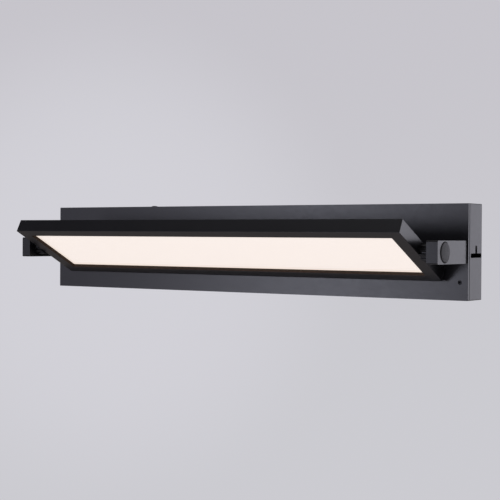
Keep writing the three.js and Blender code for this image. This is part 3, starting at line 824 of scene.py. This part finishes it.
def make_hub(side, name):
    """The fluted collar and hollow stem that turn with the head."""
    low, high = flat_box(f"pivot_hub_{name}")
    near, far = (low.x, high.x) if side > 0 else (high.x, low.x)
    washer = flat_box(f"pivot_friction_washer_{name}")
    shoulder = washer[0].x - CLEARANCE if side > 0 else washer[1].x + CLEARANCE
    collar = sorted((near, shoulder))
    piece = new_piece(f"hub_{name}", lambda bm: prism(bm, hub_outline(side), *collar, "YZX"))
    soften(piece, HUB_EDGE, 3, 25)
    stem = sorted((shoulder - side * PAST, far))
    join(piece, [hole((0, 0), STEM_RADIUS, *stem, "YZX", 48)])
    cut(piece, hub_bores(side, name, near, far))
    shade(piece, SCREW_SMOOTH)
    tilt_into_place(piece)
    show(piece, "head", OXIDE, f"pivot_hub_{name}", slot="black_screw")


both_sides(make_arm)
both_sides(make_cap)
both_sides(make_hub)

# ---------------------------------------------------------------- head

HEAD_WALL = 2
HEAD_CORNER = 0.7
HEAD_EDGE = 0.35
HALF_WINDOW = Vector((262.4, 45.0))
WINDOW_MARGIN = 0.5  # takes in the softened edge around the window
COVER_CORNER = 1.2
COVER_EDGE = 0.2
COVER_SCREW_HOLE = 1.5
COVER_SCREW_SINK = 2.75
COVER_SCREW_SHANK = 1.2
COVER_SCREW_SOCKET = 0.9
HEAD_RAILS = ("head_rail_front", "head_rail_back", "head_end_left", "head_end_right")


def head_hollow(low, high, bezel):
    """The room behind the bezel, the window through it, and the bores for the lead."""
    wall = Vector((HEAD_WALL, HEAD_WALL))
    room = rounded_outline(low.xy + wall, high.xy - wall, 0.5, 2)
    window = rounded_outline(-HALF_WINDOW, HALF_WINDOW, 0.4, 2)
    cutters = [
        new_piece("room", lambda bm: prism(bm, room, bezel, high.z + PAST)),
        new_piece("window", lambda bm: prism(bm, window, low.z - PAST, bezel + PAST)),
    ]
    for side in (-1, 1):
        end = sorted((side * (high.x - 2 * HEAD_WALL), side * (high.x + PAST)))
        cutters.append(hole((0, 0), LEAD_BORE, *end, "YZX", 32))
    return cutters


def in_window(place, normal, bezel):
    """Whether a face belongs to the walls of the window in the bezel; these faces get a painted warm glow."""
    reach = HALF_WINDOW + Vector((WINDOW_MARGIN, WINDOW_MARGIN))
    inside = abs(place.x) < reach.x and abs(place.y) < reach.y
    return inside and abs(normal.z) < 0.5 and place.z < bezel


def make_head_frame():
    """The four mitred rails as one welded and ground frame."""
    boxes = [flat_box(rail) for rail in HEAD_RAILS]
    low = Vector([min(box[0][i] for box in boxes) for i in range(3)])
    high = Vector([max(box[1][i] for box in boxes) for i in range(3)])
    bezel = flat_box("diffuser")[0].z - CLEARANCE
    outline = rounded_outline((low.x, low.y), (high.x, high.y), HEAD_CORNER, 4)
    piece = new_piece("head_shell", lambda bm: prism(bm, outline, low.z, high.z))
    cut(piece, head_hollow(low, high, bezel))
    soften(piece, HEAD_EDGE)
    show(piece, "head", BLACK, *HEAD_RAILS, slot="black_paint")
    # The window's walls get the warm brown painted glow.
    paint_light_on(piece, LIP_PAINTED_GLOW, lambda place, normal: in_window(place, normal, bezel))
    tilt_into_place(piece)


def cover_screws():
    return [name for name in sorted(nodes) if name.startswith("head_cover_screw")]


def make_back_cover():
    low, high = flat_box("head_back_cover")
    outline = rounded_outline((low.x, low.y), (high.x, high.y), COVER_CORNER, 5)
    piece = new_piece("back_cover", lambda bm: prism(bm, outline, low.z, high.z))
    below = low.z - PAST
    above = high.z + CLEARANCE
    profile = [(0, below), (COVER_SCREW_HOLE, below), (COVER_SCREW_HOLE, low.z + 0.2)]
    profile += [(COVER_SCREW_SINK, above), (0, above)]
    cutters = []
    for name in cover_screws():
        centre = middle(name, flat=True)
        cutters.append(turned("sink", profile, (centre.x, centre.y, 0), "Z", 40))
    cut(piece, cutters)
    soften(piece, COVER_EDGE, 2)
    tilt_into_place(piece)
    show(piece, "head", BLACK_SHEET, "head_back_cover", slot="black_inside")


def make_cover_screw(name):
    low, high = flat_box(name)
    centre = middle(name, flat=True)
    radius = (high.x - low.x) / 2
    profile = [
        (0, low.z),
        (COVER_SCREW_SHANK - 0.3, low.z),
        (COVER_SCREW_SHANK, low.z + 0.4),
        (COVER_SCREW_SHANK, high.z - 1.1),
        (radius - 0.1, high.z - 0.1),
        (radius - 0.25, high.z),
        (0, high.z),
    ]
    piece = turned(name.replace("head_", ""), profile, (centre.x, centre.y, 0), "Z", 40)
    socket = (high.z - 1, high.z + PAST)
    cut(piece, [hex_socket((centre.x, centre.y), COVER_SCREW_SOCKET, *socket, "XYZ")])
    shade(piece, SCREW_SMOOTH)
    tilt_into_place(piece)
    show(piece, "head", OXIDE, name, slot="black_screw")


OPAL_CORNER = 1.0
OPAL_EDGE = 0.2


def make_diffuser():
    low, high = flat_box("diffuser")
    outline = rounded_outline((low.x, low.y), (high.x, high.y), OPAL_CORNER, 4)
    piece = new_piece("opal_sheet", lambda bm: prism(bm, outline, low.z, high.z))
    soften(piece, OPAL_EDGE, 2)
    tilt_into_place(piece)
    opal = lit_opal(high.x * MM, high.y * MM, WORLD_TO_HEAD)
    show(piece, "head", opal, "diffuser", slot="opal_diffuser")


make_head_frame()
make_back_cover()
for screw_name in cover_screws():
    make_cover_screw(screw_name)
make_diffuser()

# ---------------------------------------------------------------- the other CAD nodes

FINISHES = {
    "black_paint": BLACK,
    "black_inside": BLACK_SHEET,
    "cap_plastic": BLACK_NYLON,
    "black_screw": OXIDE,
    "zinc_steel": ZINC,
    "green_steel": GREEN,
    "clear_guide": ACRYLIC,
    "white_film": FILM,
    "grey_foam": FOAM,
    "led_board": BOARD,
    "driver_case": WHITE_CASE,
    "nylon": NYLON,
    "white_lead": LEAD_WHITE,
    "black_lead": LEAD_BLACK,
    "green_lead": LEAD_GREEN,
}
BRACKET_END = 302  # only the faces of the bracket's two ends are further out than this
BRACKET_REACH = 0.6
MERGE_DISTANCE = 2e-6  # metres
FLAT_ANGLE = 0.6  # degrees between facets of one flat face
SLOTS = {part["node"]: part["material_slot"] for part in frame["record"]["subparts"]}
EASED = {  # how much the edges of each node's copy are rounded
    "wall_bracket": 0.25,
    "led_driver": 1.2,
    "terminal_block": 0.5,
    "head_connector": 0.4,
    "foam_pad": 0.5,
    "led_strip_back": 0.12,
    "led_strip_front": 0.12,
    "light_guide": 0.2,
}


def eased_copy(node, body, width):
    """A copy of a CAD solid with its flat faces made whole and its edges rounded."""
    bm = bmesh.new()
    bm.from_mesh(nodes[node].data)
    bmesh.ops.remove_doubles(bm, verts=bm.verts, dist=MERGE_DISTANCE)
    bmesh.ops.dissolve_limit(
        bm, angle_limit=math.radians(FLAT_ANGLE), verts=bm.verts, edges=bm.edges, delimit=set()
    )
    mesh = bpy.data.meshes.new(f"eased_{node}")
    bm.to_mesh(mesh)
    bm.free()
    piece = bpy.data.objects.new(f"eased_{node}", mesh)
    bpy.context.scene.collection.objects.link(piece)
    soften(piece, width, 2, 50)
    slot = SLOTS[node]
    show(piece, body, FINISHES[slot], node, slot=slot)
    return piece


def reach_ends(piece):
    """Brings the bracket's ends up to the housing's end walls, so that no light passes them."""
    for vertex in piece.data.vertices:
        if abs(vertex.co.x) > BRACKET_END * MM:
            vertex.co.x += math.copysign(BRACKET_REACH * MM, vertex.co.x)


# Selects the bracket's end faces for painted shade.
def at_bracket_end(place, normal):
    return abs(place.x) > BRACKET_END


def body_of(node):
    bodies = frame["record"]["behaviour"]["bodies"]
    return next(body for body, members in bodies.items() if node in members)


for name, node in nodes.items():
    node.data.materials.clear()
    node.data.materials.append(FINISHES.get(SLOTS[name], ZINC))
for name, width in EASED.items():
    eased = eased_copy(name, body_of(name), width)
    if name == "wall_bracket":
        reach_ends(eased)
        # The bracket's end faces get near-black painted shade.
        paint_light_on(eased, PAINTED_SHADE_EDGE, at_bracket_end)

# ---------------------------------------------------------------- floor

FLOOR_PLACE = (0.3, -0.8, -1.15)
FLOOR_RADIUS = 1.4


def pale_floor():
    color = (0.86, 0.85, 0.87)
    s = Surface("pale_floor", color, 0.9)
    s.shader.inputs["Specular IOR Level"].default_value = 0.1
    s.tint(s.noise(0.6, 2), scaled(color, 0.99), scaled(color, 1.01))
    return s.material


def make_floor():
    """A pale disc, placed where the head's bezel doesn't mirror it."""
    bm = bmesh.new()
    bmesh.ops.create_circle(bm, cap_ends=True, segments=128, radius=FLOOR_RADIUS)
    mesh = bpy.data.meshes.new("floor")
    bm.to_mesh(mesh)
    bm.free()
    floor = bpy.data.objects.new("floor", mesh)
    floor.location = FLOOR_PLACE
    mesh.materials.append(pale_floor())
    bpy.context.scene.collection.objects.link(floor)


# ---------------------------------------------------------------- room and backdrop

WALL_TOP = (0.12, 0.43)  # heights between which the bright walls fade into the ceiling
CEILING = (0.58, 0.86)  # heights between which the ceiling brightens overhead
FLOOR_LEVEL = (-0.3, 0.1)  # heights between which the lower room fades into the upper
HORIZON = (-0.15, 0.2)
DARK_SIDE = (0.86, -0.5, 0.0)  # the side of the room that has no bright wall
DARK_SPREAD = (0.3, 0.85)
GLOW = (-0.655, 0.755, -0.02)  # where the backdrop is a little lighter
GLOW_SPREAD = (0.977, 1.0)


class Sky:
    """The nodes of the world. A height is the upward part of a direction, from -1 to 1."""

    def __init__(self):
        world = bpy.data.worlds.new("studio")
        bpy.context.scene.world = world
        world.use_nodes = True
        self.tree = world.node_tree
        self.background = self.tree.nodes["Background"]
        self.direction = self.tree.nodes.new("ShaderNodeTexCoord").outputs["Generated"]

    def ramp(self, source, span, to_low, to_high):
        node = self.tree.nodes.new("ShaderNodeMapRange")
        node.interpolation_type = "SMOOTHSTEP"
        for socket, value in zip(node.inputs[1:5], (*span, to_low, to_high)):
            socket.default_value = value
        self.tree.links.new(source, node.inputs[0])
        return node.outputs[0]

    def height(self):
        node = self.tree.nodes.new("ShaderNodeSeparateXYZ")
        self.tree.links.new(self.direction, node.inputs[0])
        return node.outputs["Z"]

    def towards(self, aim):
        node = self.tree.nodes.new("ShaderNodeVectorMath")
        node.operation = "DOT_PRODUCT"
        node.inputs[1].default_value = aim
        self.tree.links.new(self.direction, node.inputs[0])
        return node.outputs["Value"]

    def product(self, first, second):
        node = self.tree.nodes.new("ShaderNodeMath")
        node.operation = "MULTIPLY"
        self.tree.links.new(first, node.inputs[0])
        self.tree.links.new(second, node.inputs[1])
        return node.outputs[0]

    def mix(self, factor, first, second):
        node = self.tree.nodes.new("ShaderNodeMix")
        node.data_type = "RGBA"
        self.tree.links.new(factor, node.inputs[MIX_FACTOR])
        for socket, value in ((node.inputs[MIX_FIRST], first), (node.inputs[MIX_SECOND], second)):
            if isinstance(value, tuple):
                socket.default_value = (*value, 1)
            else:
                self.tree.links.new(value, socket)
        return node.outputs[MIX_RESULT]


def room(sky):
    """What lights the object and is mirrored in its paint: soft walls under a dark ceiling."""
    walls = sky.ramp(sky.height(), WALL_TOP, 1.0, 0.0)
    lit_side = sky.ramp(sky.towards(DARK_SIDE), DARK_SPREAD, 1.0, 0.0)
    overhead = sky.ramp(sky.height(), CEILING, 0.0, 1.0)
    ceiling = sky.mix(overhead, (0.05, 0.05, 0.055), (0.47, 0.46, 0.47))
    upper = sky.mix(sky.product(walls, lit_side), ceiling, (0.61, 0.59, 0.73))
    above_floor = sky.ramp(sky.height(), FLOOR_LEVEL, 0.0, 1.0)
    return sky.mix(above_floor, (0.2, 0.177, 0.172), upper)


def backdrop(sky):
    """The plain pale wall that is seen behind the object."""
    fade = sky.ramp(sky.height(), HORIZON, 0.0, 1.0)
    plain = sky.mix(fade, (0.6, 0.597, 0.635), (0.57, 0.557, 0.6))
    glow = sky.ramp(sky.towards(GLOW), GLOW_SPREAD, 0.0, 1.0)
    return sky.mix(glow, plain, (0.645, 0.638, 0.685))


def make_world():
    sky = Sky()
    seen = sky.tree.nodes.new("ShaderNodeLightPath").outputs["Is Camera Ray"]
    color = sky.mix(seen, room(sky), backdrop(sky))
    sky.tree.links.new(color, sky.background.inputs["Color"])
    sky.background.inputs["Strength"].default_value = 1.0


# ---------------------------------------------------------------- softboxes


def softbox(name, place, target, size, power, color=(1, 1, 1)):
    data = bpy.data.lights.new(name, "AREA")
    data.shape = "RECTANGLE"
    data.size, data.size_y = size
    data.energy = power
    data.color = color
    lamp = bpy.data.objects.new(name, data)
    lamp.location = place
    aim = (Vector(target) - Vector(place)).to_track_quat("-Z", "Y")
    lamp.rotation_euler = aim.to_euler()
    lamp.visible_camera = False
    bpy.context.scene.collection.objects.link(lamp)


make_floor()
make_world()
softbox("key", (1.9, 2.3, 0.1), (0.3, 0, 0), (2.4, 2.0), 20.5, (0.93, 0.93, 1.0))
softbox("fill", (-1.87, -3.45, -0.22), (0.15, 0, 0), (0.75, 1.5), 20.5, (0.84, 0.86, 1.0))
softbox("floor_wash", (0.3, -0.8, -0.25), FLOOR_PLACE, (2.4, 2.4), 8)

bpy.context.scene.view_settings.view_transform = "Standard"


def plain(corners):
    return [[float(value) for value in corner] for corner in corners]
